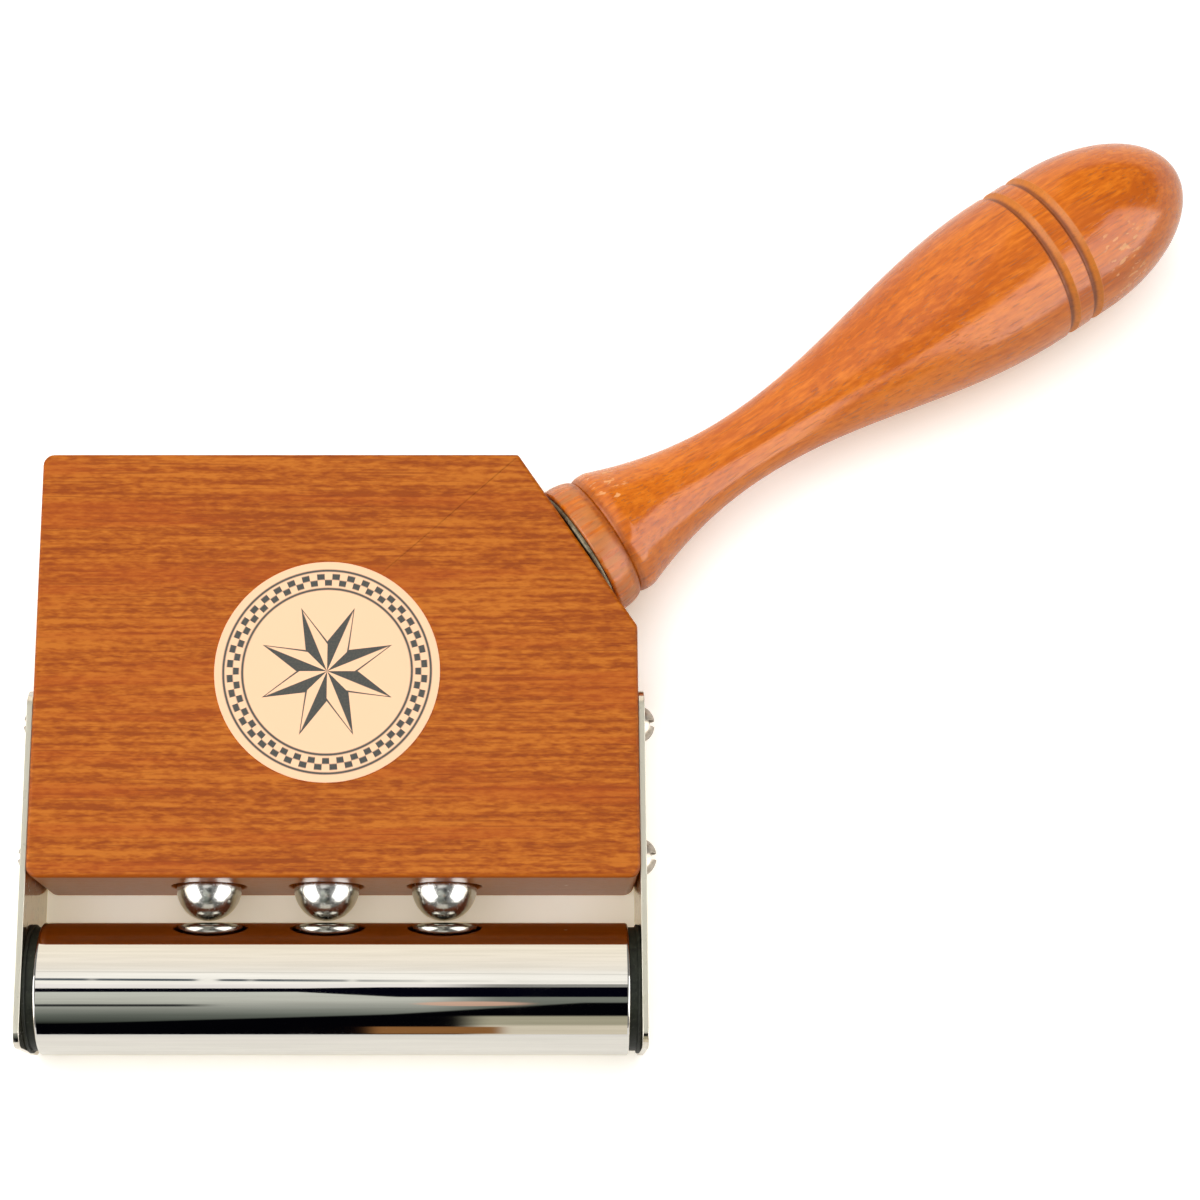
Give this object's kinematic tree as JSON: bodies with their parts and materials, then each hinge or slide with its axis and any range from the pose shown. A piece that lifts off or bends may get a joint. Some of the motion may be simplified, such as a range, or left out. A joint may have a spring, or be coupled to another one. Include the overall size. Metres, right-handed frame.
{
  "type": "cricket rattle",
  "caption": "Hand percussion rattle: hardwood block with a turned handle, and loose steel balls in pockets that strike a rubber-mounted chrome tube held by end plates.",
  "frame": {"origin": "centre of the block's flat back face", "axes": "+X along the tube towards the handle's side, +Y from the tube to the block's top edge, +Z out of the front face; the rattle lies on its back, as in the picture"},
  "size_m": [0.2359, 0.1873, 0.0334],
  "materials": {
    "block_wood": "clear lacquered hardwood with fine straight grain",
    "handle_wood": "turned hardwood under gloss lacquer",
    "plate_steel": "bright nickel plated steel strap",
    "screw_steel": "bright plated steel",
    "tube_chrome": "polished chrome",
    "plug_rubber": "moulded black rubber",
    "ball_steel": "polished bearing steel",
    "washer_steel": "zinc plated steel",
    "stud_steel": "zinc plated steel",
    "label_print": "printed satin film label"
  },
  "bodies": {
    "rattle": {"block": "block_wood", "left_end_plate": "plate_steel", "right_end_plate": "plate_steel", "left_upper_screw": "screw_steel", "left_lower_screw": "screw_steel", "right_upper_screw": "screw_steel", "right_lower_screw": "screw_steel", "tube": "tube_chrome", "left_end_plug": "plug_rubber", "right_end_plug": "plug_rubber", "handle_washer": "washer_steel", "handle_stud": "stud_steel", "handle": "handle_wood", "front_label": "label_print"},
    "left_ball": {"left_ball": "ball_steel"},
    "middle_ball": {"middle_ball": "ball_steel"},
    "right_ball": {"right_ball": "ball_steel"}
  },
  "joints": [
    {"name": "left_ball_jump", "type": "slide", "parent": "rattle", "child": "left_ball", "axis": [0, 1, 0], "range_m": [0, 0.0095]},
    {"name": "middle_ball_jump", "type": "slide", "parent": "rattle", "child": "middle_ball", "axis": [0, 1, 0], "range_m": [0, 0.0095]},
    {"name": "right_ball_jump", "type": "slide", "parent": "rattle", "child": "right_ball", "axis": [0, 1, 0], "range_m": [0, 0.0095]}
  ]
}
